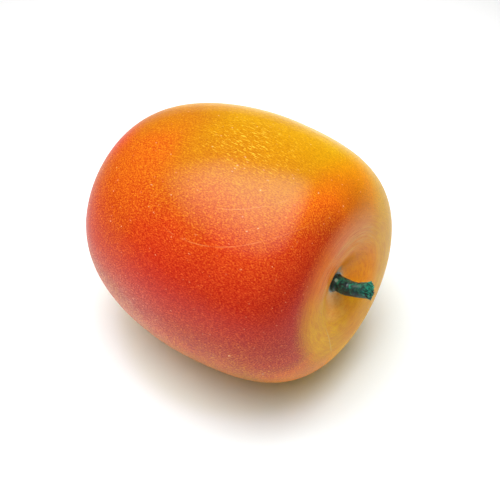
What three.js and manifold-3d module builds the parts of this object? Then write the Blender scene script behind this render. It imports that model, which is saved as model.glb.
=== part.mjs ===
// A painted wooden play apple: a turned hardwood body with a stiff cord for a stalk, lying on its side.
//
// Millimetres. +Z is up. +X runs along the apple towards its stalk, so the body's own axis rises from X by
// restTilt. The origin is on the surface it lies on, below the middle of the whole apple.
import * as THREE from 'three';
import { mergeVertices } from 'three/addons/utils/BufferGeometryUtils.js';
import Module from 'manifold-3d';

// Turned body. Lengths run along its own axis, from the widest ring.
const bodyRadius = 30;
const stalkEndLength = 28.7;
const blossomEndLength = 35.9;

// Well at the stalk end, and the hole drilled in its floor.
const wellCrestRadius = 12.5;
const wellDepth = 3.6;
const holeRadius = 2;
const holeDepth = 8;

// Dimple at the blossom end.
const dimpleCrestRadius = 8.3;
const dimpleDepth = 2.2;
const dimpleFloorRadius = 1.2;

// How full each curve of the section is: how far its two ends pull it along, as a share of its span.
const dimplePull = { floor: 0.4, crest: 0.5 };
const blossomPull = { crest: 0.806, ring: 0.291 };
const stalkPull = { ring: 0.462, crest: 0.95 };
const wellPull = { crest: 0.55, floor: 0.65 };

// How it lies: its balance lifts the stalk end, and a thin slice off its low side keeps it from rolling.
const restTilt = THREE.MathUtils.degToRad(4.8);
const flatCut = 0.3;

// Cord stalk. Heights are along the cord, above the floor of the well.
const gap = 0.3;
const cordRadius = holeRadius - gap;
const cordEndRadius = 1.95;
const cordHeight = 9.5;
const swellFrom = 0.6; // share of the cord's length from which it swells to its cut end
const bendStart = 2.4;
const bendEnd = 6.6;
const bendAngle = THREE.MathUtils.degToRad(20);
const bendLean = THREE.MathUtils.degToRad(49); // the way it bends: this far from straight up, towards +Y

// Bead of dried glue round the foot of the cord.
const beadRadius = 2.8;
const beadHeight = 0.8;
const beadShoulder = 0.1;

// Fineness of the round shapes.
const bodySides = 80;
const curveSteps = 12;
const cordSides = 20;
const cordSteps = 20;
const beadSides = 32;
const beadSteps = 6;

const paint = new THREE.MeshStandardMaterial({ color: 0xe2632c, roughness: 0.35, metalness: 0 });
const cordLacquer = new THREE.MeshStandardMaterial({ color: 0x12574a, roughness: 0.3, metalness: 0 });
const driedGlue = new THREE.MeshStandardMaterial({ color: 0x9db0a2, roughness: 0.4, metalness: 0 });

const wasm = await Module();
wasm.setup();

// Leaves only positions, with each shared corner stored once and no flat triangles at the poles.
function weld(geometry) {
  const bare = geometry.clone();
  bare.deleteAttribute('normal');
  bare.deleteAttribute('uv');
  const merged = mergeVertices(bare, 1e-4);
  const corners = merged.index.array;
  const kept = [];
  for (let i = 0; i < corners.length; i += 3) {
    const [a, b, c] = corners.slice(i, i + 3);
    if (a !== b && b !== c && c !== a) kept.push(a, b, c);
  }
  merged.setIndex(kept);
  return merged;
}

function toSolid(geometry) {
  const welded = weld(geometry);
  const vertProperties = new Float32Array(welded.attributes.position.array);
  const triVerts = new Uint32Array(welded.index.array);
  return new wasm.Manifold(new wasm.Mesh({ numProp: 3, vertProperties, triVerts }));
}

function toGeometry(solid) {
  const mesh = solid.getMesh();
  const geometry = new THREE.BufferGeometry();
  geometry.setAttribute('position', new THREE.BufferAttribute(mesh.vertProperties, 3));
  geometry.setIndex(new THREE.BufferAttribute(mesh.triVerts, 1));
  geometry.computeVertexNormals();
  return geometry;
}

// Half section of the body: x is the radius and y the place along the axis, stalk end up.
function bodyProfile() {
  const { lerp } = THREE.MathUtils;
  const crest = stalkEndLength;
  const wellFloor = crest - wellDepth;
  const foot = -blossomEndLength;
  const dimpleFloor = foot + dimpleDepth;
  const path = new THREE.Path();

  path.moveTo(0, dimpleFloor);
  path.lineTo(dimpleFloorRadius, dimpleFloor);
  const dimpleOut = lerp(dimpleFloorRadius, dimpleCrestRadius, dimplePull.floor);
  const dimpleIn = lerp(dimpleCrestRadius, dimpleFloorRadius, dimplePull.crest);
  path.bezierCurveTo(dimpleOut, dimpleFloor, dimpleIn, foot, dimpleCrestRadius, foot);

  const footOut = lerp(dimpleCrestRadius, bodyRadius, blossomPull.crest);
  path.bezierCurveTo(footOut, foot, bodyRadius, foot * blossomPull.ring, bodyRadius, 0);

  const crestIn = lerp(wellCrestRadius, bodyRadius, stalkPull.crest);
  path.bezierCurveTo(bodyRadius, crest * stalkPull.ring, crestIn, crest, wellCrestRadius, crest);

  const wellIn = lerp(wellCrestRadius, holeRadius, wellPull.crest);
  const floorIn = lerp(wellCrestRadius, holeRadius, wellPull.floor);
  path.bezierCurveTo(wellIn, crest, floorIn, wellFloor, holeRadius, wellFloor);
  path.lineTo(holeRadius, wellFloor - holeDepth);
  path.lineTo(0, wellFloor - holeDepth);
  return path.getPoints(curveSteps);
}

// Turns a shape made round the Y axis so that its axis is the apple's, as the apple lies.
function layDown(geometry) {
  return geometry.rotateZ(-Math.PI / 2).rotateY(-restTilt);
}

function makeBody() {
  const turned = layDown(new THREE.LatheGeometry(bodyProfile(), bodySides));
  turned.computeBoundingBox();
  const slab = new THREE.BoxGeometry(4 * bodyRadius, 4 * bodyRadius, bodyRadius);
  slab.translate(0, 0, turned.boundingBox.min.z + flatCut - bodyRadius / 2);
  return toGeometry(toSolid(turned).subtract(toSolid(slab)));
}

// Middle line of the cord, up the Y axis from the bottom of its hole and then bent over to one side.
function cordPath() {
  const wellFloor = stalkEndLength - wellDepth;
  const side = new THREE.Vector3(-Math.sin(bendLean), 0, Math.cos(bendLean));
  const bentWay = new THREE.Vector3(0, Math.cos(bendAngle), 0).addScaledVector(side, Math.sin(bendAngle));
  const foot = new THREE.Vector3(0, wellFloor - holeDepth + gap, 0);
  const start = new THREE.Vector3(0, wellFloor + bendStart, 0);
  const elbow = new THREE.Vector3(0, wellFloor + (bendStart + bendEnd) / 2, 0);
  const end = elbow.clone().addScaledVector(bentWay, (bendEnd - bendStart) / 2);
  const tip = elbow.clone().addScaledVector(bentWay, cordHeight - (bendStart + bendEnd) / 2);
  const path = new THREE.CurvePath();
  path.add(new THREE.LineCurve3(foot, start));
  path.add(new THREE.QuadraticBezierCurve3(start, elbow, end));
  path.add(new THREE.LineCurve3(end, tip));
  return path;
}

// A round bar of unit length, swelling to its cut end, that bendAlong then lays on the cord's path.
function straightCord() {
  const profile = [new THREE.Vector2(0, 0)];
  for (let i = 0; i <= cordSteps; i += 1) {
    const t = i / cordSteps;
    const swell = THREE.MathUtils.smoothstep(t, swellFrom, 1);
    profile.push(new THREE.Vector2(THREE.MathUtils.lerp(cordRadius, cordEndRadius, swell), t));
  }
  profile.push(new THREE.Vector2(0, 1));
  return new THREE.LatheGeometry(profile, cordSides);
}

// Moves each ring of a unit-length bar to its place on a path, square to it.
function bendAlong(geometry, path) {
  const { position } = geometry.attributes;
  const up = new THREE.Vector3(0, 1, 0);
  const point = new THREE.Vector3();
  for (let i = 0; i < position.count; i += 1) {
    point.fromBufferAttribute(position, i);
    const along = point.y;
    point.y = 0;
    point.applyQuaternion(new THREE.Quaternion().setFromUnitVectors(up, path.getTangentAt(along)));
    point.add(path.getPointAt(along));
    position.setXYZ(i, point.x, point.y, point.z);
  }
  return geometry;
}

function makeCord() {
  return layDown(bendAlong(straightCord(), cordPath()));
}

// A low ring with a rounded top, a gap clear of the wood below it and of the cord inside it.
function makeBead() {
  const inner = cordRadius + gap;
  const base = stalkEndLength - wellDepth + gap;
  const path = new THREE.Path();
  path.moveTo(inner, base);
  path.lineTo(beadRadius, base);
  path.quadraticCurveTo(beadRadius - beadShoulder, base + beadHeight, inner, base + beadHeight);
  path.lineTo(inner, base);
  return layDown(new THREE.LatheGeometry(path.getPoints(beadSteps), beadSides));
}

function named(name, geometry, material) {
  const mesh = new THREE.Mesh(weld(geometry), material);
  mesh.geometry.computeVertexNormals();
  mesh.name = name;
  return mesh;
}

const apple = new THREE.Group();
apple.add(named('wood_body', makeBody(), paint));
apple.add(named('cord_stem', makeCord(), cordLacquer));
apple.add(named('glue_bead', makeBead(), driedGlue));

const extent = new THREE.Box3().setFromObject(apple);
const middle = extent.getCenter(new THREE.Vector3());
apple.position.set(-middle.x, -middle.y, -extent.min.z);

export default apple;
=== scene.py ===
import math
import bpy
from mathutils import Matrix, Vector


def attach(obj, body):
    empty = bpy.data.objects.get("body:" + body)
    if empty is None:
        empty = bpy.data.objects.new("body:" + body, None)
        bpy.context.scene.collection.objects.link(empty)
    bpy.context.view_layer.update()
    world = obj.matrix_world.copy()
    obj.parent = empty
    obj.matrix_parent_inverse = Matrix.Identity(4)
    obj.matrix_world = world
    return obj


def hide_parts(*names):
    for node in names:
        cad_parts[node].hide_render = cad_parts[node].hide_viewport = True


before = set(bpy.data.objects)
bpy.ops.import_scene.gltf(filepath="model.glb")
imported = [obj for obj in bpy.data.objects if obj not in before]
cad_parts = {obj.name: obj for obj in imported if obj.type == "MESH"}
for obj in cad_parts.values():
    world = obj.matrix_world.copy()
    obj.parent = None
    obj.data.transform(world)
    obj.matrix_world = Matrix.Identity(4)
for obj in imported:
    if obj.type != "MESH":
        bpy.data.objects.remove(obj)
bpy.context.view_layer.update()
scene = bpy.context.scene
mm = 0.001

# A turned and painted wooden play apple on its side, with a stiff lacquered cord for a stalk.
# Lengths are in millimetres and angles in degrees. Every piece is worked out in the axis frame, with x along
# the apple's axis from its widest ring and z up, and is then laid down into the row frame.
lie = {"ringCentre": (0.8055, 0.0, 29.745), "restTilt": 4.8}
ringCentre = Vector(lie["ringCentre"])
tilted = (0, math.radians(-lie["restTilt"]), 0)
meshing = {"endGap": 0.001, "seamGap": 0.0005, "sharpAngle": 40.0}  # joins what is nearer than its gap


class Link:
    # a node's socket that can be used in a Python expression
    def __init__(self, tree, socket):
        self.tree = tree
        self.socket = socket

    def __add__(self, other):
        return self.tree.maths("ADD", self, other)

    def __sub__(self, other):
        return self.tree.maths("SUBTRACT", self, other)

    def __rsub__(self, other):
        return self.tree.maths("SUBTRACT", other, self)

    def __mul__(self, other):
        return self.tree.maths("MULTIPLY", self, other)

    def __truediv__(self, other):
        return self.tree.maths("DIVIDE", self, other)

    def __rtruediv__(self, other):
        return self.tree.maths("DIVIDE", other, self)

    def __pow__(self, other):
        return self.tree.maths("POWER", self, other)

    __radd__ = __add__
    __rmul__ = __mul__


class NodeTree:
    # adds nodes to one tree, whether it is a material's, the world's or a modifier's
    def __init__(self, tree):
        self.tree = tree
        tree.nodes.clear()

    def node(self, kind, settings=None, inputs=None, out=0):
        made = self.tree.nodes.new(kind)
        for name, value in (settings or {}).items():
            if name == "stops":
                self.setStops(made.color_ramp, value)
            else:
                setattr(made, name, value)
        for name, value in (inputs or {}).items():
            for each in value if isinstance(value, list) else [value]:
                if isinstance(each, Link):
                    self.tree.links.new(each.socket, made.inputs[name])
                else:
                    made.inputs[name].default_value = each
        return Link(self, made.outputs[out]) if len(made.outputs) else None

    def setStops(self, ramp, stops):
        while len(ramp.elements) < len(stops):
            ramp.elements.new(1)
        for element, (place, colour) in zip(ramp.elements, stops):
            element.position = place
            element.color = (*colour, 1)

    def maths(self, operation, *values):
        return self.node("ShaderNodeMath", {"operation": operation}, dict(enumerate(values)))

    def clamped(self, value, low, high):
        return self.maths("MINIMUM", self.maths("MAXIMUM", value, low), high)

    def step(self, value, low, high, toLow=0.0, toHigh=1.0, kind="SMOOTHSTEP"):
        return self.node("ShaderNodeMapRange", {"interpolation_type": kind}, {
            "Value": value, "From Min": low, "From Max": high, "To Min": toLow, "To Max": toHigh})

    def vector(self, operation, *values, out=0):
        return self.node("ShaderNodeVectorMath", {"operation": operation}, dict(enumerate(values)), out)

    def scaled(self, vector, scale):
        return self.node("ShaderNodeVectorMath", {"operation": "SCALE"}, {0: vector, "Scale": scale})

    def joined(self, x, y, z):
        return self.node("ShaderNodeCombineXYZ", None, {0: x, 1: y, 2: z})

    def parts(self, vector):
        split = self.node("ShaderNodeSeparateXYZ", None, {"Vector": vector})
        return [Link(self, socket) for socket in split.socket.node.outputs]

    def noise(self, vector, scale, detail, roughness=0.5):
        return self.node("ShaderNodeTexNoise", None, {
            "Vector": vector, "Scale": scale, "Detail": detail, "Roughness": roughness})


class PieceTree(NodeTree):
    # a Geometry Nodes tree whose named inputs are the sizes in a piece's dictionary
    kinds = {int: "NodeSocketInt", float: "NodeSocketFloat"}

    def __init__(self, name, sizes, material):
        super().__init__(bpy.data.node_groups.new(name, "GeometryNodeTree"))
        self.name = name
        self.material = material
        self.values = {}
        for key, value in sizes.items():
            kind = self.kinds[type(value)]
            socket = self.tree.interface.new_socket(key, in_out="INPUT", socket_type=kind)
            self.values[socket.identifier] = value
        self.tree.interface.new_socket("Geometry", in_out="OUTPUT", socket_type="NodeSocketGeometry")
        entry = self.tree.nodes.new("NodeGroupInput")
        self.size = {key: Link(self, entry.outputs[key]) for key in sizes}

    def join(self, *geometries):
        return self.node("GeometryNodeJoinGeometry", None, {"Geometry": list(geometries)})

    def line(self, start, end):
        return self.node("GeometryNodeCurvePrimitiveLine", None, {"Start": start, "End": end})

    def bezier(self, start, startHandle, endHandle, end, steps):
        return self.node("GeometryNodeCurvePrimitiveBezierSegment", None, {
            "Resolution": steps, "Start": start, "Start Handle": startHandle,
            "End Handle": endHandle, "End": end})

    def circle(self, sides):
        return self.node("GeometryNodeCurvePrimitiveCircle", {"mode": "RADIUS"}, {
            "Resolution": sides, "Radius": 1.0})

    def evenly(self, curve, count):
        return self.node("GeometryNodeResampleCurve", None, {"Curve": curve, "Count": count})

    def bar(self, path, sides, thickness):
        # a closed round bar along a path
        return self.node("GeometryNodeCurveToMesh", None, {
            "Curve": path, "Profile Curve": self.circle(sides), "Scale": thickness, "Fill Caps": True})

    def oneCurve(self, *curves):
        # welds curves that meet end to end into a single one
        wires = self.node("GeometryNodeCurveToMesh", None, {"Curve": self.join(*curves)})
        return self.node("GeometryNodeMeshToCurve", None, {"Mesh": self.welded(wires, meshing["endGap"])})

    def welded(self, geometry, distance):
        return self.node("GeometryNodeMergeByDistance", None, {"Geometry": geometry, "Distance": distance})

    def moved(self, geometry, offset):
        return self.node("GeometryNodeSetPosition", None, {"Geometry": geometry, "Offset": offset})

    def placed(self, geometry, position):
        return self.node("GeometryNodeSetPosition", None, {"Geometry": geometry, "Position": position})

    def turned(self, profile, sides):
        # a profile of (length, radius) points turned round the x axis
        length, radius, _ = self.parts(self.node("GeometryNodeInputPosition"))
        section = self.placed(profile, self.joined(radius - 1, length, 0))
        ring = self.circle(sides)
        swept = self.node("GeometryNodeCurveToMesh", None, {"Curve": ring, "Profile Curve": section})
        upright = self.node("GeometryNodeTransform", None, {
            "Geometry": swept, "Rotation": (0, math.radians(-90), 0)})
        return self.welded(upright, meshing["seamGap"])

    def random(self, low, high, seed):
        return self.node("FunctionNodeRandomValue", {"data_type": "FLOAT"}, {
            2: low, 3: high, "Seed": seed}, out=1)

    def laidDown(self, geometry):
        # from the axis frame in millimetres to the row frame in metres
        return self.node("GeometryNodeTransform", None, {
            "Geometry": geometry, "Translation": ringCentre * mm, "Rotation": tilted, "Scale": (mm, mm, mm)})

    def makePiece(self, geometry):
        real = self.node("GeometryNodeRealizeInstances", None, {"Geometry": geometry})
        finished = self.node("GeometryNodeSetMaterial", None, {"Geometry": real, "Material": self.material})
        self.node("NodeGroupOutput", None, {"Geometry": finished})
        maker = bpy.data.objects.new(self.name, bpy.data.meshes.new(self.name))
        scene.collection.objects.link(maker)
        modifier = maker.modifiers.new(self.name, "NODES")
        modifier.node_group = self.tree
        for identifier, value in self.values.items():
            modifier[identifier] = value
        evaluated = maker.evaluated_get(bpy.context.evaluated_depsgraph_get())
        mesh = bpy.data.meshes.new_from_object(evaluated)
        maker.modifiers.remove(modifier)
        maker.data = mesh
        mesh.name = self.name
        mesh.shade_smooth()
        mesh.set_sharp_from_angle(angle=math.radians(meshing["sharpAngle"]))
        print(self.name, "made of", len(mesh.polygons), "faces")
        return maker


class Finish(NodeTree):
    # a material's tree, which starts from a place on the piece in the axis frame, in millimetres
    def __init__(self, name):
        self.material = bpy.data.materials.new(name)
        self.material.use_nodes = True
        super().__init__(self.material.node_tree)

    def axisPlace(self):
        here = self.node("ShaderNodeTexCoord", out="Object")
        return self.node("ShaderNodeMapping", {"vector_type": "TEXTURE"}, {
            "Vector": here, "Location": ringCentre * mm, "Rotation": tilted, "Scale": (mm, mm, mm)})

    def mix(self, factor, first, second):
        return self.node("ShaderNodeMix", {"data_type": "RGBA"}, {0: factor, 6: first, 7: second}, out=2)

    def ramp(self, factor, stops):
        return self.node("ShaderNodeValToRGB", {"stops": stops}, {"Fac": factor})

    def bump(self, height, depth, strength):
        return self.node("ShaderNodeBump", None, {
            "Strength": strength, "Distance": depth * mm, "Height": height})

    def principled(self, inputs):
        surface = self.node("ShaderNodeBsdfPrincipled", None, inputs)
        self.node("ShaderNodeOutputMaterial", None, {"Surface": surface})
        return self.material


def rgb(red, green, blue):
    return (red, green, blue, 1)


def rootPiece(piece, node):
    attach(piece, "root")
    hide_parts(node)


# The camera looks down on the stalk end from the front and right.
view = {
    "azimuth": 35.16, "elevation": 49.18, "distance": 540.0, "frameWidth": 115.65,
    "right": 1.18, "up": -2.27,  # where the middle of the view is, from the widest ring
    "sensorWidth": 36.0, "nearest": 0.01,
}
sideways = Vector((math.cos(math.radians(view["azimuth"])), math.sin(math.radians(view["azimuth"])), 0))


def makeCamera():
    away = Vector((0, 0, 1)).cross(sideways)  # level, from the camera towards the apple
    elevation = math.radians(view["elevation"])
    back = away * -math.cos(elevation) + Vector((0, 0, math.sin(elevation)))
    up = back.cross(sideways)
    lens = bpy.data.cameras.new("camera")
    lens.sensor_width = view["sensorWidth"]
    lens.lens = lens.sensor_width * view["distance"] / view["frameWidth"]
    lens.clip_start = view["nearest"]
    camera = bpy.data.objects.new("camera", lens)
    aim = ringCentre + sideways * view["right"] + up * view["up"]
    camera.location = (aim + back * view["distance"]) * mm
    camera.rotation_mode = "QUATERNION"
    camera.rotation_quaternion = Matrix((sideways, up, back)).transposed().to_quaternion()
    scene.collection.objects.link(camera)
    scene.camera = camera
    scene.view_settings.view_transform = "Standard"


makeCamera()
print("camera made")


# Studio: a big soft box overhead, square to the camera, and a white table that fades out into a dim room: its
# colour darkens away from the apple as painted light falloff.
# The table is measured from the apple, in metres, and the box from its own middle, in shares of its height.
studio = {
    "tableReach": 0.32,
    # Painted shadow and light on the table: greyer right beneath the apple, and darker far from it.
    "under": 0.90, "near": 0.96, "far": 0.30,  # how white the table is, from the apple outwards
    "nearFrom": (0.026, 0.032), "farFrom": (0.055, 0.20),
    # A painted yellow bounce light right under the apple, and a cool tint round it that cancels the apple's
    # red bounce light.
    "paintedBounceTint": (1.0, 1.0, 0.93), "bounceCancelTint": (0.92, 0.985, 1.0), "bounceCancelEnds": (0.04, 0.12),
    "tooth": 2500.0, "toothBumps": (0.05, 0.2),
    "boxHeight": 0.9,  # of the soft box above the apple, in metres
    "boxAcross": (-1.45, 0.80), "boxAway": (-1.05, 0.85),  # its edges
    "fadeLeft": (-1.4, -0.35), "fadeRight": (0.78, 0.16), "fadeNear": (-1.1, 0.05), "fadeFar": (0.9, 0.25),
    "brightness": 5.8, "room": 0.12, "backdrop": 0.5,
}


def makeSlab(name, corners, material):
    mesh = bpy.data.meshes.new(name)
    mesh.from_pydata(corners, [], [(0, 1, 2, 3)])
    mesh.materials.append(material)
    slab = bpy.data.objects.new(name, mesh)
    scene.collection.objects.link(slab)
    return slab


def makeTable():
    tree = Finish("whiteTable")
    place = tree.node("ShaderNodeTexCoord", out="Object")
    distance = tree.vector("LENGTH", place, out="Value")
    # painted shadow under the apple and painted light falloff away from it
    whiteWithPaintedShade = tree.step(distance, *studio["nearFrom"], studio["under"], studio["near"])
    whiteWithPaintedShade = whiteWithPaintedShade * tree.step(distance, *studio["farFrom"], 1.0, studio["far"] / studio["near"])
    bounceCancel = tree.mix(tree.step(distance, *studio["bounceCancelEnds"]), rgb(*studio["bounceCancelTint"]), rgb(1, 1, 1))
    paintedBounce = tree.mix(tree.step(distance, *studio["nearFrom"]), rgb(*studio["paintedBounceTint"]), rgb(1, 1, 1))
    colour = tree.scaled(tree.vector("MULTIPLY", bounceCancel, paintedBounce), whiteWithPaintedShade)
    tooth = tree.noise(place, studio["tooth"], 3)
    material = tree.principled({
        "Base Color": colour, "Roughness": 0.9, "Specular IOR Level": 0.1,
        "Normal": tree.bump(tooth, *studio["toothBumps"])})
    reach = studio["tableReach"]
    corners = [(-reach, -reach, 0), (reach, -reach, 0), (reach, reach, 0), (-reach, reach, 0)]
    makeSlab("table", corners, material)


def makeSoftBox():
    tree = Finish("softBoxCloth")
    across, away, _ = tree.parts(tree.node("ShaderNodeTexCoord", out="Object"))
    glow = studio["brightness"] * tree.step(across, *studio["fadeLeft"], kind="LINEAR")
    glow = glow * tree.step(across, *studio["fadeRight"])
    glow = glow * tree.step(away, *studio["fadeNear"], kind="LINEAR") * tree.step(away, *studio["fadeFar"])
    light = tree.node("ShaderNodeEmission", None, {"Strength": glow})
    tree.node("ShaderNodeOutputMaterial", None, {"Surface": light})
    (left, right), (near, far) = studio["boxAcross"], studio["boxAway"]
    corners = [(left, far, 0), (right, far, 0), (right, near, 0), (left, near, 0)]
    box = makeSlab("softBox", corners, tree.material)
    box.location = ringCentre * mm + Vector((0, 0, studio["boxHeight"]))
    box.rotation_euler = (0, 0, math.radians(view["azimuth"]))
    box.scale = (studio["boxHeight"],) * 3
    box.visible_camera = False


def makeRoom():
    world = bpy.data.worlds.new("room")
    world.use_nodes = True
    scene.world = world
    tree = NodeTree(world.node_tree)
    dim = tree.node("ShaderNodeBackground", None, {"Strength": studio["room"]})
    pale = tree.node("ShaderNodeBackground", None, {"Strength": studio["backdrop"]})
    seen = tree.node("ShaderNodeLightPath", out="Is Camera Ray")
    both = tree.node("ShaderNodeMixShader", None, {0: seen, 1: dim, 2: pale})
    tree.node("ShaderNodeOutputWorld", None, {"Surface": both})


makeTable()
makeSoftBox()
makeRoom()
print("studio made")


# The turned body, in lengths along its axis from the widest ring.
body = {
    "radius": 30.0, "stalkEnd": 28.7, "blossomEnd": 35.84,
    "wellCrest": 12.5, "wellDepth": 3.6, "hole": 2.0, "holeDepth": 8.0,
    "dimpleCrest": 8.3, "dimpleDepth": 2.2, "dimpleFloor": 1.2,
    "sides": 288, "steps": 100, "wellSteps": 120, "dimpleSteps": 40,
    "unevenness": 0.06, "lumpSize": 22.0, "lumpsFrom": 4.0,
    "ringDepth": 0.06, "ringDensity": 0.85,  # marks of the turning tool at both ends
}
bodyPulls = {  # how fully each curve of its section leaves its two ends
    "dimple": (0.4, 0.5), "blossom": (0.806, 0.291), "stalk": (0.462, 0.95), "well": (0.55, 0.65),
}
toolMarks = {  # where the rings are: away from the hole, away from the axis and along it
    "inner": (0.5, 2.5), "outer": (22.0, 14.0), "blossomEnd": (-20.0, -30.0), "stalkEnd": (20.0, 25.0),
}


def between(start, end, share):
    return start + (end - start) * share


def spot(tree, length, distance):
    # a point of a section that is to be turned: so far along the axis and so far from it
    return tree.joined(length, distance, 0)


def makeBody():
    tree = PieceTree("turnedBody", body, paintedWood())
    size = tree.size
    radius, crest, foot = size["radius"], size["stalkEnd"], 0 - size["blossomEnd"]
    dimple, wellFloor = foot + size["dimpleDepth"], crest - size["wellDepth"]
    bottom = wellFloor - size["holeDepth"]
    hole, wellCrest = size["hole"], size["wellCrest"]
    dimpleFloor, dimpleCrest = size["dimpleFloor"], size["dimpleCrest"]
    pulls = bodyPulls
    curves = [
        tree.line(spot(tree, dimple, 0), spot(tree, dimple, dimpleFloor)),
        tree.bezier(
            spot(tree, dimple, dimpleFloor),
            spot(tree, dimple, between(dimpleFloor, dimpleCrest, pulls["dimple"][0])),
            spot(tree, foot, between(dimpleCrest, dimpleFloor, pulls["dimple"][1])),
            spot(tree, foot, dimpleCrest), size["dimpleSteps"]),
        tree.bezier(
            spot(tree, foot, dimpleCrest),
            spot(tree, foot, between(dimpleCrest, radius, pulls["blossom"][0])),
            spot(tree, foot * pulls["blossom"][1], radius), spot(tree, 0, radius), size["steps"]),
        tree.bezier(
            spot(tree, 0, radius), spot(tree, crest * pulls["stalk"][0], radius),
            spot(tree, crest, between(wellCrest, radius, pulls["stalk"][1])),
            spot(tree, crest, wellCrest), size["steps"]),
        tree.bezier(
            spot(tree, crest, wellCrest), spot(tree, crest, between(wellCrest, hole, pulls["well"][0])),
            spot(tree, wellFloor, between(wellCrest, hole, pulls["well"][1])),
            spot(tree, wellFloor, hole), size["wellSteps"]),
        tree.line(spot(tree, wellFloor, hole), spot(tree, bottom, hole)),
        tree.line(spot(tree, bottom, hole), spot(tree, bottom, 0)),
    ]
    turned = tree.turned(tree.oneCurve(*curves), size["sides"])
    turned = tree.node("GeometryNodeFlipFaces", None, {"Mesh": turned})

    # slightly uneven all over, with shallow turned rings at the two ends
    here = tree.node("GeometryNodeInputPosition")
    along, y, z = tree.parts(here)
    distance = (y * y + z * z) ** 0.5
    lumps = tree.noise(here, 1 / size["lumpSize"], 1) * size["unevenness"]
    lumps = lumps * tree.step(distance, hole, hole + size["lumpsFrom"])
    inward = tree.vector("NORMALIZE", tree.joined(0, y, z))
    rings = tree.noise(tree.joined(distance, 0, 0), size["ringDensity"], 2) * size["ringDepth"]
    rings = rings * tree.step(distance - hole, *toolMarks["inner"]) * tree.step(distance, *toolMarks["outer"])
    ends = tree.step(along, *toolMarks["blossomEnd"]) - tree.step(along, *toolMarks["stalkEnd"])
    shift = tree.vector("ADD", tree.scaled(inward, 0 - lumps), tree.joined(rings * ends, 0, 0))
    lying = tree.laidDown(tree.moved(turned, shift))
    x, y, z = tree.parts(tree.node("GeometryNodeInputPosition"))
    flattened = tree.placed(lying, tree.joined(x, y, tree.maths("MAXIMUM", z, 0)))  # the flat it rests on
    return tree.makePiece(flattened)


class Place:
    # a place on a piece: how far along the axis it is, beside it (y), above it (z) and away from it
    def __init__(self, tree):
        self.tree = tree
        self.point = tree.axisPlace()
        self.along, self.y, self.z = tree.parts(self.point)
        self.radius = tree.maths("MAXIMUM", (self.y * self.y + self.z * self.z) ** 0.5, 0.01)  # never 0

    def facing(self, degrees):
        # 1 on that side of the axis and -1 on the side across from it
        angle = math.radians(degrees)
        return (self.z * math.cos(angle) - self.y * math.sin(angle)) / self.radius

    def side(self, degrees, *limits):
        return self.tree.step(self.facing(degrees), *limits)

    def ring(self, middle, reach, full):
        return self.tree.step(self.tree.maths("ABSOLUTE", self.radius - middle), reach, full)

    def brushed(self, density, turns, detail):
        # noise that is fine from ring to ring and long round the axis
        y, z = self.y / self.radius * turns, self.z / self.radius * turns
        return self.tree.noise(self.tree.joined(self.radius * density, y, z), 1.0, detail, 0.6)


# Its paint: red sprayed over yellow. Angles go round the axis, from the top and over to the front. A share is
# how far round a place is from where the red was sprayed, in half turns. Two numbers say where something
# starts and where it is full, and two more between which amounts. A side begins with the angle it is at.
spray = {
    "from": 75.0,  # the side it was sprayed from
    "drift": 0.12, "driftSize": 14.0,  # how unevenly it was laid on
    "layers": [  # the colour at each share
        # the red dips at shares 0.33 to 0.42, where the soft box's highlight falls: painted shade
        (0.00, (0.59, 0.028, 0.009)), (0.08, (0.61, 0.036, 0.007)), (0.17, (0.61, 0.052, 0.005)),
        (0.25, (0.56, 0.105, 0.004)), (0.33, (0.51, 0.150, 0.003)), (0.42, (0.50, 0.180, 0.002)),
        (0.50, (0.56, 0.240, 0.001)), (0.58, (0.68, 0.330, 0.001)), (0.67, (0.85, 0.470, 0.001)),
        (0.80, (0.92, 0.470, 0.001))],
    "underside": 1.35,  # how much sooner the red runs out underneath
    "underEdge": (0.05, 0.12, 0.0, 0.03), "underAlong": (8.0, -4.0),
    "shoulder": (17.0, 25.0), "shoulderSide": (0.0, -0.8, 0.0), "shoulderShare": (0.80, 0.2, 0.0, 0.44),
    "rim": (23.0, 27.0, 0.0, 0.03),
    "blossomShare": 0.25, "evened": (-2.0, -20.0, 0.0, 0.6), "mostOver": 0.1,
    "redder": (-6.0, -16.0), "redderShare": (0.62, 0.47, 0.0, 0.8), "reddest": (-24.0, -32.0),
}


def sprayedShare(tree, at):
    # how far round each place is from the full red, and the share that picks its colour
    angle = math.radians(spray["from"])
    across = 0 - at.y * math.cos(angle) - at.z * math.sin(angle)
    turn = tree.maths("ARCTAN2", across, at.z * math.cos(angle) - at.y * math.sin(angle)) * (1 / math.pi)
    under = tree.step(turn, *spray["underEdge"]) * tree.step(at.along, *spray["underAlong"])
    turn = tree.maths("MAXIMUM", turn * spray["underside"] + under, 0 - turn)
    share = turn + (tree.noise(at.point, 1 / spray["driftSize"], 2) - 0.5) * spray["drift"]
    shoulder = tree.step(at.along, *spray["shoulder"]) * at.side(*spray["shoulderSide"])
    share = share * (1 - shoulder * tree.step(share, *spray["shoulderShare"]))
    share = share - tree.step(at.along, *spray["rim"])
    short = tree.maths("MAXIMUM", spray["blossomShare"] - share, 0)
    over = tree.clamped(share - spray["blossomShare"], 0, spray["mostOver"])
    redder = tree.step(at.along, *spray["redder"]) * tree.step(share, *spray["redderShare"])
    redder = redder + tree.step(at.along, *spray["reddest"])
    return turn, share + short * tree.step(at.along, *spray["evened"]) - over * redder


# How much stronger or weaker the red of the colours is in some places.
warmth = {
    "stalkAlong": (16.0, 25.0), "stalkShare": (0.18, 0.32, -0.05, 0.42), "blossom": (-5.0, -20.0, 0.0, 0.11),
    "belly": (10.0, -4.0), "bellyEnd": (-18.0, -6.0), "bellySide": (100.0, 0.45, 0.85, 0.0, 0.06),
    "lowSide": (7.0, 2.0), "dull": (0.03, 0.11, 0.0, 0.07), "dullEnd": (0.23, 0.17),
    "edge": (0.16, 0.26, 0.0, 0.1), "edgeMore": (0.26, 0.36, 0.0, 0.1), "edgeAlong": (18.0, 12.0),
    "fullest": (0.92, 1.0, 1.0),
}


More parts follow.
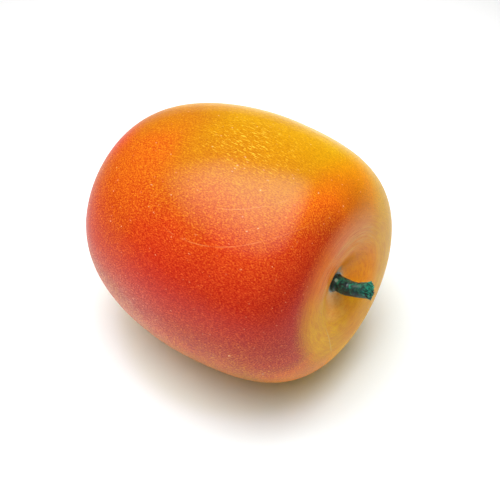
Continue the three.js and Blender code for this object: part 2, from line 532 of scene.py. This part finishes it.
def sprayedColour(tree, at, turn, share):
    warmer = tree.step(at.along, *warmth["stalkAlong"]) * tree.step(share, *warmth["stalkShare"])
    paler = tree.step(at.along, *warmth["blossom"])
    belly = tree.step(at.along, *warmth["belly"]) * tree.step(at.along, *warmth["bellyEnd"])
    paler = paler + belly * at.side(*warmth["bellySide"])
    lowSide = tree.step(at.z, *warmth["lowSide"])
    paler = paler - tree.step(turn, *warmth["dull"]) * tree.step(turn, *warmth["dullEnd"]) * lowSide
    edge = tree.step(turn, *warmth["edge"]) + tree.step(turn, *warmth["edgeMore"])
    paler = paler + edge * tree.step(at.along, *warmth["edgeAlong"]) * lowSide
    colour = tree.ramp(share, spray["layers"])
    colour = tree.vector("MULTIPLY", colour, tree.joined(1 + warmer + paler, 1, 1))
    return tree.vector("MINIMUM", colour, warmth["fullest"])


# The stalk end, painted by brush while it turned: a light crest, a blush, orange and gold inside the well,
# and a pale gold patch below the stalk that is a painted highlight.
# A ring is given by its radius and by how near to it the paint starts and is full. A brush is given by how
# fine its strokes are, how often they change round the axis, and their detail.
stalkEnd = {
    "crest": (0.88, 0.32, 0.012), "crestAlong": (22.6, 25.8), "crestRadius": (21.2, 15.0), "cover": 0.96,
    "inset": (85.0, 0.5, 1.0, 0.0, 0.7), "blush": (32.0, 10.0, 0.36), "blushRed": 0.25,
    "sunny": [(-105.0, 0.2, 1.0, 0.0, 0.27), (115.0, 0.3, 0.9, 0.0, 0.25)],
    "pale": 6.0, "paleSide": (-15.0, 0.75, 1.0), "paleRadius": (11.0, 13.5),
    "below": (180.0, 0.5, 0.95, 0.0, 0.07),
    "orange": (0.98, 0.300, 0.005), "orangeSide": (-65.0, -0.1, 0.55), "orangeRadius": (14.5, 9.5),
    "gold": (0.98, 0.40, 0.010), "goldSide": (140.0, 0.0, 0.7), "goldRadius": (9.5, 6.0),
    "ochre": (0.87, 0.41, 0.004), "ochreSide": (100.0, 0.0, 0.8), "ochreRing": (9.8, 2.8, 0.8),
    "brush": (2.6, 4.5, 3.0), "ochreBrush": (0.4, 0.6, 0.15, 0.85), "swing": (0.4, 1.3, 1.0),
    "streak": (0.98, 0.56, 0.15), "streakBrush": (6.5, 1.6, 2.0), "streaks": (0.52, 0.62),
    "streakSide": (0.0, 0.3, 0.85), "streakRing": (12.6, 3.4, 1.6), "streakStrength": 0.75,
    "paintedWellSheen": (1.0, 0.55, 0.21), "wellSheenSide": (130.0, 0.2, 0.8), "wellSheenRing": (3.6, 3.0, 0.6),
    "wellSheenOuterRing": (7.0, 2.2, 0.8), "wellSheenOuter": 0.3, "wellSheenBrush": (0.3, 0.6, 0.45, 1.0),
    "wellSheenStrength": 0.8,
}


def brushedCrest(tree, at):
    # the light paint round the well, redder, sunnier and paler on some of its sides
    blushFrom, tightness, blush = stalkEnd["blush"]
    blush = (at.facing(blushFrom) * 0.5 + 0.5) ** tightness * blush
    left, right = stalkEnd["sunny"]
    sunny = at.side(*left) + at.side(*right)
    pale = at.side(*stalkEnd["paleSide"]) * tree.step(at.radius, *stalkEnd["paleRadius"])
    below = at.side(*stalkEnd["below"])
    red = 1 - below + blush * stalkEnd["blushRed"]
    return tree.vector("MULTIPLY", stalkEnd["crest"], tree.joined(
        red, 1 - blush + sunny - below, 1 + pale * stalkEnd["pale"]))


def stalkEndPaint(tree, at, colour):
    crest = tree.step(at.along, *stalkEnd["crestAlong"])
    crest = crest * tree.step(at.radius + at.side(*stalkEnd["inset"]), *stalkEnd["crestRadius"])
    brushed = brushedCrest(tree, at)
    for name in ("orange", "gold"):
        inside = tree.step(at.radius, *stalkEnd[name + "Radius"]) * at.side(*stalkEnd[name + "Side"])
        brushed = tree.mix(inside, brushed, rgb(*stalkEnd[name]))
    arcs = at.brushed(*stalkEnd["brush"])
    ochre = at.ring(*stalkEnd["ochreRing"]) * at.side(*stalkEnd["ochreSide"])
    brushed = tree.mix(ochre * tree.step(arcs, *stalkEnd["ochreBrush"]), brushed, rgb(*stalkEnd["ochre"]))
    swing = arcs - 0.5
    swung = [1 + swing * part for part in stalkEnd["swing"]]
    brushed = tree.vector("MULTIPLY", brushed, tree.joined(*swung))
    streaks = tree.step(at.brushed(*stalkEnd["streakBrush"]), *stalkEnd["streaks"])
    streaks = streaks * at.ring(*stalkEnd["streakRing"]) * at.side(*stalkEnd["streakSide"])
    brushed = tree.mix(streaks * stalkEnd["streakStrength"], brushed, rgb(*stalkEnd["streak"]))
    # painted highlight: a pale gold patch on the well's wall below the stalk, where the coat shines
    paintedWellSheen = at.ring(*stalkEnd["wellSheenRing"]) + at.ring(*stalkEnd["wellSheenOuterRing"]) * stalkEnd["wellSheenOuter"]
    paintedWellSheen = paintedWellSheen * at.side(*stalkEnd["wellSheenSide"]) * tree.step(arcs, *stalkEnd["wellSheenBrush"])
    brushed = tree.mix(paintedWellSheen * stalkEnd["wellSheenStrength"], brushed, rgb(*stalkEnd["paintedWellSheen"]))
    return tree.mix(crest * stalkEnd["cover"], colour, brushed), crest, swing


# A film of glue above the foot of the stalk.
glueFilm = {
    "colour": (0.62, 0.60, 0.40), "spot": (1.2, 2.8), "reach": (1.8, 0.5), "uneven": 1.6,
    "brush": (1.5, 2.5, 2.0), "foot": (3.5, 2.7, 0.0, 0.5), "strength": 0.8,
}


def smearedGlue(tree, at, colour, crest):
    spotY, spotZ = glueFilm["spot"]
    away = ((at.y - spotY) ** 2 + (at.z - spotZ) ** 2) ** 0.5
    away = away + (at.brushed(*glueFilm["brush"]) - 0.5) * glueFilm["uneven"]
    film = tree.maths("MAXIMUM", tree.step(away, *glueFilm["reach"]), tree.step(at.radius, *glueFilm["foot"]))
    return tree.mix(film * crest * glueFilm["strength"], colour, rgb(*glueFilm["colour"]))


# Marks on the coat: a pinkish haze low down on the side towards the table, which is a painted reflection of
# the table; light arcs, which are painted highlights; and a scratch.
tableSheen = {
    "side": (120.0, 0.66, 0.92), "along": (5.0, -14.0), "streaks": (0.3, 1.6, 1.6),
    "uneven": (0.3, 0.7, 0.5, 1.3), "strength": 0.075, "colour": (0.80, 0.50, 0.52),
}


# painted reflection: a pinkish haze where the lower side faces the white table
def paintedTableSheen(tree, at, colour, facingTable):
    uneven = tree.noise(tree.vector("MULTIPLY", at.point, tableSheen["streaks"]), 1.0, 2)
    sheen = facingTable * tree.step(at.along, *tableSheen["along"]) * tree.step(uneven, *tableSheen["uneven"])
    return tree.mix(sheen * tableSheen["strength"], colour, rgb(*tableSheen["colour"]))


arcHighlight = {
    "width": (0.17, 0.02), "round": (2.0, 6.0), "taper": 4.0, "gapSize": 0.35, "gaps": (0.3, 0.6),
    "strength": 0.3, "colour": (1.0, 0.45, 0.14),
}
# Each arc has its centre (along and round), its radius and its reach along.
highlightArcs = [((0.0, -1.0), 25.8, (-6.0, 25.0)), ((0.0, -5.0), 21.0, (4.0, 20.0))]


# painted highlight: thin light arcs along the edges of the soft box's reflection
def paintedHighlightArcs(tree, at, colour):
    around = tree.maths("ARCTAN2", 0 - at.y, at.z) * body["radius"]
    gaps = tree.step(tree.noise(tree.joined(at.along, around, 0), arcHighlight["gapSize"], 2), *arcHighlight["gaps"])
    for (centreAlong, centreRound), radius, (begin, end) in highlightArcs:
        away = ((at.along - centreAlong) ** 2 + (around - centreRound) ** 2) ** 0.5 - radius
        line = tree.step(tree.maths("ABSOLUTE", away), *arcHighlight["width"]) * tree.step(around, *arcHighlight["round"])
        line = line * tree.step(at.along, begin, begin + arcHighlight["taper"])
        line = line * tree.step(at.along, end, end - arcHighlight["taper"]) * gaps
        colour = tree.mix(line * arcHighlight["strength"], colour, rgb(*arcHighlight["colour"]))
    return colour


scratch = {
    "from": (-9.5, -3.0), "to": (-7.5, -14.8),  # its ends, beside the axis and above it
    "fadesIn": (0.8, -5.0), "fadesOut": (-0.3, 0.8),
    "along": (18.0, 19.0), "width": 0.2, "strength": 0.7, "colour": (0.90, 0.64, 0.18),
}


def scratched(tree, at, colour):
    (y0, z0), (y1, z1) = scratch["from"], scratch["to"]
    aside = tree.maths("ABSOLUTE", at.y - y0 - (at.z - z0) * ((y1 - y0) / (z1 - z0)))
    cut = tree.step(aside, scratch["width"], 0.0) * tree.step(at.along, *scratch["along"])
    for height, (empty, full) in ((z0, scratch["fadesIn"]), (z1, scratch["fadesOut"])):
        cut = cut * tree.step(at.z, height + empty, height + full)
    return tree.mix(cut * scratch["strength"], colour, rgb(*scratch["colour"])), cut


# Droplets of the spray, golden dashes along the grain of the yellow side and pale flecks.
speckles = {
    "droplets": 3.7, "dropletShape": (0.62, 1.04, 1.04), "dropletDepth": 1.4,
    "grainDepth": 0.9, "grainOnRed": 0.5, "onRed": (0.55, 0.15), "calmCrest": 0.65, "rubbedMore": 0.45,
    "redSwing": (0.36, 0.20), "greenSwing": (0.55, 1.85), "plainCrest": (0.0, 0.5, 0.0, 0.85),
    "dashes": (0.7, 4.2, 4.2), "dashColour": (0.95, 0.60, 0.05), "dashStrength": (0.14, 0.4),
    "dashFrom": (0.62, 0.76), "dashShare": (0.3, 0.45),
    "patch": (2.0, 2.0, 29.5), "patchReach": (16.0, 4.0), "patchMore": 0.05,
    "flecks": 0.9, "fleckShape": (0.55, 1.15, 1.15), "fleckShake": (3.5, 0.6),
    "fleckSize": (0.15, 0.05), "fleckLeast": 0.4, "fleckKept": (0.4, 0.9),
    "fleckColour": (1.0, 0.54, 0.28), "fleckStrength": 0.7,
}


def goldenDashes(tree, at, colour, dashes, share, crest):
    # short strokes along the grain of the yellow side, thickest in one patch
    away = tree.vector("DISTANCE", at.point, speckles["patch"], out="Value")
    patch = tree.step(away, *speckles["patchReach"])
    golden = tree.step(dashes + patch * speckles["patchMore"], *speckles["dashFrom"])
    golden = golden * tree.step(share, *speckles["dashShare"]) * (1 - crest)
    least, more = speckles["dashStrength"]
    return tree.mix(golden * (least + patch * more), colour, rgb(*speckles["dashColour"]))


def paleFlecks(tree, at, colour, crest):
    # odd grains of lighter paint, shaken out of line and drawn out along the grain
    density, distance = speckles["fleckShake"]
    shake = tree.node("ShaderNodeTexNoise", None, {"Vector": at.point, "Scale": density}, out="Color")
    shaken = tree.vector("ADD", at.point, tree.scaled(shake, distance))
    dots = tree.node("ShaderNodeTexVoronoi", {"feature": "F1"}, {
        "Vector": tree.vector("MULTIPLY", shaken, speckles["fleckShape"]), "Scale": speckles["flecks"]})
    kept, size, _ = tree.parts(Link(tree, dots.socket.node.outputs["Color"]))
    flecks = tree.step(dots / (speckles["fleckLeast"] + size), *speckles["fleckSize"])
    flecks = flecks * tree.step(kept, *speckles["fleckKept"]) * (1 - crest)
    return tree.mix(flecks * speckles["fleckStrength"], colour, rgb(*speckles["fleckColour"]))


def sprayDroplets(tree, colour, fine, grain, share, crest, facingTable):
    # makes the colour darker or lighter droplet by droplet, its green and blue the most, above all on the red
    redness = tree.step(share, *speckles["onRed"])
    grainDepth = speckles["grainDepth"] - redness * speckles["grainOnRed"]
    speck = fine * speckles["dropletDepth"] + grain * grainDepth
    speck = speck * (1 - crest * speckles["calmCrest"]) * (1 + facingTable * speckles["rubbedMore"])
    deep = redness * redness * (1 - tree.step(crest, *speckles["plainCrest"]))
    lift, shift = (
        tree.maths("EXPONENT", speck * (least + deep * more))
        for least, more in (speckles["redSwing"], speckles["greenSwing"]))
    return tree.vector("MULTIPLY", colour, tree.joined(lift, shift, shift))


# The clear coat, and what takes from its shine.
clearCoat = {
    "weight": 0.43, "least": 0.1,
    "crest": 0.52, "crestFar": (0.3, 0.9, 0.0, 0.25), "well": (13.0, 8.0, 0.0, 0.3),
    "blossom": (-12.0, -27.0), "blossomShare": (-0.02, 0.13, 0.0, 0.42),
    "shoulder": (13.0, 20.0), "shoulderShare": (0.45, 0.62, 0.0, 0.4),
    "droplets": 1.2, "grain": 0.7, "brush": 1.4, "scratch": 0.6, "bumps": (0.05, 0.4),
}


def coatWeight(tree, at, share, crest):
    # the clear coat is thinner on the crest, in the well, on one shoulder and near the blossom end
    matt = clearCoat["crest"] - tree.step(at.y / at.radius, *clearCoat["crestFar"])
    matt = (matt + tree.step(at.radius, *clearCoat["well"])) * crest
    matt = matt + tree.step(at.along, *clearCoat["blossom"]) * tree.step(share, *clearCoat["blossomShare"])
    shoulder = tree.step(at.along, *clearCoat["shoulder"]) * tree.step(share, *clearCoat["shoulderShare"])
    matt = matt + shoulder * (1 - crest)
    return clearCoat["weight"] * tree.clamped(1 - matt, clearCoat["least"], 1)


def paintedWood():
    tree = Finish("paintedWood")
    at = Place(tree)
    turn, share = sprayedShare(tree, at)
    colour = sprayedColour(tree, at, turn, share)
    colour, crest, swing = stalkEndPaint(tree, at, colour)
    colour = smearedGlue(tree, at, colour, crest)
    # the side facing the table, where its reflection is painted and the droplets show more
    facingTable = at.side(*tableSheen["side"])
    colour = paintedTableSheen(tree, at, colour, facingTable)
    dashes = tree.noise(tree.vector("MULTIPLY", at.point, speckles["dashes"]), 1.0, 1)
    colour = goldenDashes(tree, at, colour, dashes, share, crest)
    colour = paleFlecks(tree, at, colour, crest)
    dropletPlace = tree.vector("MULTIPLY", at.point, speckles["dropletShape"])
    fine = tree.noise(dropletPlace, speckles["droplets"], 0) - 0.5
    grain = dashes - 0.5
    colour = sprayDroplets(tree, colour, fine, grain, share, crest, facingTable)
    colour = paintedHighlightArcs(tree, at, colour)
    colour, cut = scratched(tree, at, colour)
    height = fine * clearCoat["droplets"] + grain * clearCoat["grain"]
    height = height + swing * crest * clearCoat["brush"] - cut * clearCoat["scratch"]
    return tree.principled({
        "Base Color": colour, "Roughness": 0.5, "IOR": 1.45, "Specular IOR Level": 0.05,
        "Coat Weight": coatWeight(tree, at, share, crest), "Coat Roughness": 0.14, "Coat IOR": 1.5,
        "Normal": tree.bump(height, *clearCoat["bumps"])})


turnedBody = makeBody()
rootPiece(turnedBody, "wood_body")

# The cord, up its hole and out, then bent over to one side and swelling to a frayed end.
wellFloor = body["stalkEnd"] - body["wellDepth"]
cord = {
    "radius": 1.75, "bareRadius": 1.9, "endRadius": 2.1, "flare": 0.2, "worn": 0.5,
    "height": 9.5, "footGap": 0.3, "swellOver": 3.0,
    "bendStart": 2.4, "bendEnd": 6.6, "bendAngle": 20.0, "bendLean": 49.0,
    "sides": 96, "steps": 220, "bendSteps": 24,
    "lumpSize": 1.5, "lumpDepth": 0.3, "knotSize": 0.5, "knotDepth": 0.06,
    "frayLength": 0.45, "frayInset": 0.2, "tufts": 230, "tuftLength": 0.75, "tuftSink": 0.4,
    "tuftRadius": 0.12, "tuftTaper": 0.9, "tuftSplay": 26.0, "tuftSides": 7, "tuftSteps": 7, "seed": 4,
}
cordLimits = {  # heights above the well's floor at which it changes; the wear is measured from its tip
    "bare": (0.0, 0.6), "flare": (0.4, 1.4), "flareEnds": (4.6, 2.4), "outOfHole": (-0.5, 0.5),
    "tipWear": (-0.5, 0.1),
}
tuftLimits = {  # the least height and how much more, the narrowest and the widest, and the turn in radians
    "tall": (0.6, 0.55), "wide": (0.7, 1.5), "astray": (-0.35, 0.35),
}
goldenAngle = math.radians(137.508)
lean, bendAngle = math.radians(cord["bendLean"]), math.radians(cord["bendAngle"])
bentWay = Vector((
    math.cos(bendAngle), math.sin(bendAngle) * math.sin(lean), math.sin(bendAngle) * math.cos(lean)))
elbowHeight = (cord["bendStart"] + cord["bendEnd"]) / 2


def frayedEnd(tree, reach):
    # short stiff tufts set by the golden angle over the cut end, pointing along x and splayed at the rim
    size = tree.size
    index = tree.node("GeometryNodeInputIndex")
    share = (index + 0.5) / size["tufts"]
    turn = index * goldenAngle
    away = share ** 0.5 * reach
    scattered = tree.joined(0, away * tree.maths("COSINE", turn), away * tree.maths("SINE", turn))
    points = tree.node("GeometryNodePoints", None, {"Count": size["tufts"], "Position": scattered})
    least, more = tuftLimits["tall"]
    tall = tree.random(0.0, 1.0, size["seed"]) ** 3 * more + least
    stem = tree.evenly(tree.line((0, 0, 0), (0, 0, 1)), size["tuftSteps"])
    factor = tree.node("GeometryNodeSplineParameter", out="Factor")
    blunt = size["tuftRadius"] * (1 - factor ** 4 * size["tuftTaper"]) ** 0.5
    tuft = tree.bar(stem, size["tuftSides"], blunt)
    splay = share * size["tuftSplay"] * math.radians(1)
    aside = turn + tree.random(*tuftLimits["astray"], size["seed"] + 1)
    leant = tree.maths("SINE", splay)
    outward = tree.joined(
        tree.maths("COSINE", splay), leant * tree.maths("COSINE", aside), leant * tree.maths("SINE", aside))
    aim = tree.node("FunctionNodeAlignRotationToVector", {"axis": "Z"}, {"Vector": outward})
    wide = tree.random(*tuftLimits["wide"], size["seed"] + 2)
    tufts = tree.node("GeometryNodeInstanceOnPoints", None, {
        "Points": points, "Instance": tuft, "Rotation": aim,
        "Scale": tree.joined(wide, 1, tall * size["tuftLength"])})
    return tree.node("GeometryNodeRealizeInstances", None, {"Geometry": tufts})


def makeCord():
    tree = PieceTree("lacqueredCord", cord, lacqueredCord())
    size = tree.size
    middle = (size["bendStart"] + size["bendEnd"]) / 2
    elbow = tree.joined(wellFloor + middle, 0, 0)
    along, _, _ = tree.parts(tree.node("GeometryNodeInputPosition"))

    def beyond(distance):
        return tree.vector("ADD", elbow, tree.scaled(tuple(bentWay), distance))

    def fromFloor(name):
        return tree.step(along - wellFloor, *cordLimits[name])

    foot = tree.joined(wellFloor - body["holeDepth"] + size["footGap"], 0, 0)
    start = tree.joined(size["bendStart"] + wellFloor, 0, 0)
    end = beyond((size["bendEnd"] - size["bendStart"]) / 2)
    tipHeight = size["height"] - size["frayLength"]
    tip = beyond(tipHeight - middle)
    bend = tree.node("GeometryNodeCurveQuadraticBezier", None, {
        "Resolution": size["bendSteps"], "Start": start, "Middle": elbow, "End": end})
    path = tree.evenly(tree.oneCurve(tree.line(foot, start), bend, tree.line(end, tip)), size["steps"])
    tipAlong = wellFloor + tipHeight * math.cos(bendAngle / 2)
    swell = tree.step(along, tipAlong - size["swellOver"], tipAlong)
    bare = between(size["radius"], size["bareRadius"], fromFloor("bare"))
    flare = fromFloor("flare") * fromFloor("flareEnds") * size["flare"]
    thickness = between(bare + flare, size["endRadius"], swell)
    thickness = thickness - tree.step(along - tipAlong, *cordLimits["tipWear"]) * size["worn"]
    here = tree.node("GeometryNodeInputPosition")
    outOfHole = fromFloor("outOfHole")
    lumps = tree.noise(here, 1 / size["lumpSize"], 1) * size["lumpDepth"] * outOfHole
    knots = tree.noise(here, 1 / size["knotSize"], 1) * size["knotDepth"] * outOfHole * (1 + swell)
    inward = tree.scaled(tree.node("GeometryNodeInputNormal"), 0 - lumps - knots)
    tube = tree.moved(tree.bar(path, size["sides"], thickness), inward)
    tufts = frayedEnd(tree, size["endRadius"] - size["frayInset"])
    tufts = tree.moved(tufts, tree.joined(0 - size["tuftSink"], 0, 0))
    turned = tree.node("GeometryNodeTransform", None, {
        "Geometry": tufts, "Translation": tip,
        "Rotation": Vector((1, 0, 0)).rotation_difference(bentWay).to_euler()})
    return tree.makePiece(tree.laidDown(tree.join(tube, turned)))


# Its green lacquer, in layers from the thickest and darkest to the thinnest, and a pale spot on its foot that
# is a painted highlight.
footGlint = {"spot": (26.05, -0.75, 1.85), "reach": (0.58, 0.25), "colour": (0.34, 0.58, 0.42)}
lacquer = {
    "layers": [
        (0.42, (0.003, 0.018, 0.022)), (0.50, (0.004, 0.036, 0.038)), (0.56, (0.004, 0.075, 0.060)),
        (0.63, (0.007, 0.17, 0.110)), (0.72, (0.02, 0.36, 0.20))],
    "patches": (0.75, 2, 0.55), "patchShare": 0.6, "mottle": (2.1, 2, 0.6), "mottleShare": 0.5,
    "tip": (6.6, 8.8), "tipShare": 0.06, "thinned": 0.01,
    "upperWay": (-0.34, 0.645, 0.684), "shadeBelow": (0.3, -0.6, 0.0, 0.09), "shadeFrom": (-2.0, 0.0),
    # worn and the keys after it give a painted highlight streak along the cord's upper side
    "worn": (0.08, 0.16, 0.15), "highlightHeight": 0.85, "highlightReach": (0.36, 0.08), "highlightStrength": 0.8,
    "highlightFrom": (0.4, 1.2), "highlightTo": (3.3, 2.3),
    "fibres": (3.2, 1), "fibreShape": (0.3, 1.0, 1.0), "cutEnd": (-0.5, 0.1),
    "bright": (0.010, 0.26, 0.17), "litCutEndGreen": (0.04, 0.46, 0.29), "brightFibres": (0.45, 0.60, 0.0, 0.8),
    "dark": (0.002, 0.028, 0.026), "darkFibres": (0.46, 0.36, 0.0, 0.9),
    "coat": 0.7, "tipCoat": 0.4, "lowCoat": (-0.2, -1.2, 0.0, 0.4),
    "rough": (3.0, 2), "bumps": (0.12, 0.2),
}


# painted highlight: a pale spot on the foot of the cord and the glue, where the soft box shines
def paintedFootGlint(tree, colour, place):
    away = tree.vector("DISTANCE", place, footGlint["spot"], out="Value")
    return tree.mix(tree.step(away, *footGlint["reach"]), colour, rgb(*footGlint["colour"]))


def lacqueredCord():
    tree = Finish("lacqueredCord")
    place = tree.axisPlace()
    along, _, _ = tree.parts(place)
    fromElbow = tree.vector("SUBTRACT", place, (wellFloor + elbowHeight, 0, 0))
    beyond = tree.vector("DOT_PRODUCT", fromElbow, tuple(bentWay), out="Value")
    upper = tree.vector("DOT_PRODUCT", fromElbow, lacquer["upperWay"], out="Value")
    tip = tree.step(along - wellFloor, *lacquer["tip"])

    # thick and thin lacquer, thinner at the tip, and darker on the low side as painted shade
    thinnessAndShade = tree.noise(place, *lacquer["patches"]) * lacquer["patchShare"]
    thinnessAndShade = thinnessAndShade + tree.noise(place, *lacquer["mottle"]) * lacquer["mottleShare"]
    thinnessAndShade = thinnessAndShade + tip * lacquer["tipShare"] + lacquer["thinned"]
    # painted shade on the cord's low side
    thinnessAndShade = thinnessAndShade - tree.step(upper, *lacquer["shadeBelow"]) * tree.step(beyond, *lacquer["shadeFrom"])
    colour = tree.ramp(thinnessAndShade, lacquer["layers"])

    # a pale streak along the upper side, which is a painted highlight, and light and dark fibres towards the
    # tip
    worn = tree.step(tree.maths("ABSOLUTE", upper - lacquer["highlightHeight"]), *lacquer["highlightReach"])
    worn = worn * tree.step(beyond, *lacquer["highlightFrom"]) * tree.step(beyond, *lacquer["highlightTo"])
    colour = tree.mix(worn * lacquer["highlightStrength"], colour, rgb(*lacquer["worn"]))
    ahead = beyond - (cord["height"] - cord["frayLength"] - elbowHeight)
    fibres = tree.noise(tree.vector("MULTIPLY", place, lacquer["fibreShape"]), *lacquer["fibres"])
    # the cut end gets the brightest green: partly the fibres' own lighter colour, partly painted light where
    # it faces away from the soft box
    cutEnd = tree.step(ahead, *lacquer["cutEnd"])
    bright = tree.mix(cutEnd, rgb(*lacquer["bright"]), rgb(*lacquer["litCutEndGreen"]))
    colour = tree.mix(tip * tree.step(fibres, *lacquer["brightFibres"]), colour, bright)
    colour = tree.mix(tip * tree.step(fibres, *lacquer["darkFibres"]), colour, rgb(*lacquer["dark"]))
    coat = lacquer["coat"] - tip * lacquer["tipCoat"] - tree.step(upper, *lacquer["lowCoat"]) * (1 - tip)
    rough = tree.noise(place, *lacquer["rough"])
    return tree.principled({
        "Base Color": paintedFootGlint(tree, colour, place), "Roughness": 0.5, "Specular IOR Level": 0.2,
        "Coat Weight": coat, "Coat Roughness": 0.12, "Coat IOR": 1.5,
        "Normal": tree.bump(rough, *lacquer["bumps"])})


stalk = makeCord()
rootPiece(stalk, "cord_stem")

# Glue and lacquer that ran down round the foot of the cord: a thin skirt that rises to a flared collar.
bead = {
    "inner": 1.6, "skirt": 2.75, "skirtHeight": 0.13, "collar": 2.3, "collarHeight": 0.55, "height": 1.9,
    "lift": 0.03, "sides": 128, "skirtSteps": 8, "collarSteps": 12, "steps": 30,
    "shelf": 0.4, "collarLow": 0.35, "collarHigh": 0.45, "collarIn": 0.1,  # as shares of a side
    "unevenness": 0.3, "shrunk": 0.25, "lobes": 1.65, "lobeHeight": 0.5,
    "outsideFrom": 0.05, "outsideFull": 0.5,
}
glue = {
    "mottle": (1.6, 2, 0.6), "edge": (2.25, 2.6), "edgeUneven": 0.8, "edgeHeight": (0.6, 0.2),
    "dark": [(0.35, (0.005, 0.024, 0.026)), (0.5, (0.006, 0.055, 0.050)), (0.65, (0.010, 0.11, 0.090))],
    "pale": [(0.35, (0.12, 0.14, 0.13)), (0.6, (0.30, 0.31, 0.25)), (0.75, (0.50, 0.50, 0.38))],
    "rough": (2.2, 2), "bumps": (0.12, 0.5),
}


def makeBead():
    tree = PieceTree("glueBead", bead, driedGlue())
    size = tree.size
    low, top = wellFloor + size["lift"], wellFloor + size["height"]
    shelf, shoulder = wellFloor + size["skirtHeight"], wellFloor + size["collarHeight"]
    inner, outer, collar = size["inner"], size["skirt"], size["collar"]
    onShelf = spot(tree, shelf, between(collar, outer, size["shelf"]))
    upCollar = spot(tree, between(shoulder, top, size["collarLow"]), collar)
    overCollar = spot(
        tree, between(shoulder, top, size["collarHigh"]), between(inner, collar, size["collarIn"]))
    curves = [
        tree.line(spot(tree, low, inner), spot(tree, low, outer)),
        tree.bezier(
            spot(tree, low, outer), spot(tree, shelf, outer), spot(tree, shelf, outer), onShelf,
            size["skirtSteps"]),
        tree.bezier(
            onShelf, spot(tree, shelf, collar), spot(tree, shelf, collar), spot(tree, shoulder, collar),
            size["collarSteps"]),
        tree.bezier(
            spot(tree, shoulder, collar), upCollar, overCollar, spot(tree, top, inner), size["steps"]),
        tree.line(spot(tree, top, inner), spot(tree, low, inner)),
    ]
    ring = tree.turned(tree.oneCurve(*curves), size["sides"])
    along, y, z = tree.parts(tree.node("GeometryNodeInputPosition"))
    distance = (y * y + z * z) ** 0.5
    wayRound = tree.joined(along * size["lobeHeight"], y / distance, z / distance)
    runs = tree.noise(wayRound, size["lobes"], 2) - 0.5
    outside = tree.step(distance - inner, size["outsideFrom"], size["outsideFull"]) * size["unevenness"]
    spread = 1 + runs * outside - outside * size["shrunk"]
    uneven = tree.placed(ring, tree.joined(along, y * spread, z * spread))
    return tree.makePiece(tree.laidDown(uneven))


def driedGlue():
    tree = Finish("driedGlue")
    place = tree.axisPlace()
    along, y, z = tree.parts(place)
    distance = (y * y + z * z) ** 0.5
    mottle = tree.noise(place, *glue["mottle"])
    edge = tree.step(distance + (mottle - 0.5) * glue["edgeUneven"], *glue["edge"])
    edge = edge * tree.step(along - wellFloor, *glue["edgeHeight"])
    colour = tree.mix(edge, tree.ramp(mottle, glue["dark"]), tree.ramp(mottle, glue["pale"]))
    rough = tree.noise(place, *glue["rough"])
    return tree.principled({
        "Base Color": paintedFootGlint(tree, colour, place), "Roughness": 0.4, "Specular IOR Level": 0.3,
        "Coat Weight": 0.7, "Coat Roughness": 0.1, "Coat IOR": 1.5,
        "Normal": tree.bump(rough, *glue["bumps"])})


glueBead = makeBead()
rootPiece(glueBead, "glue_bead")
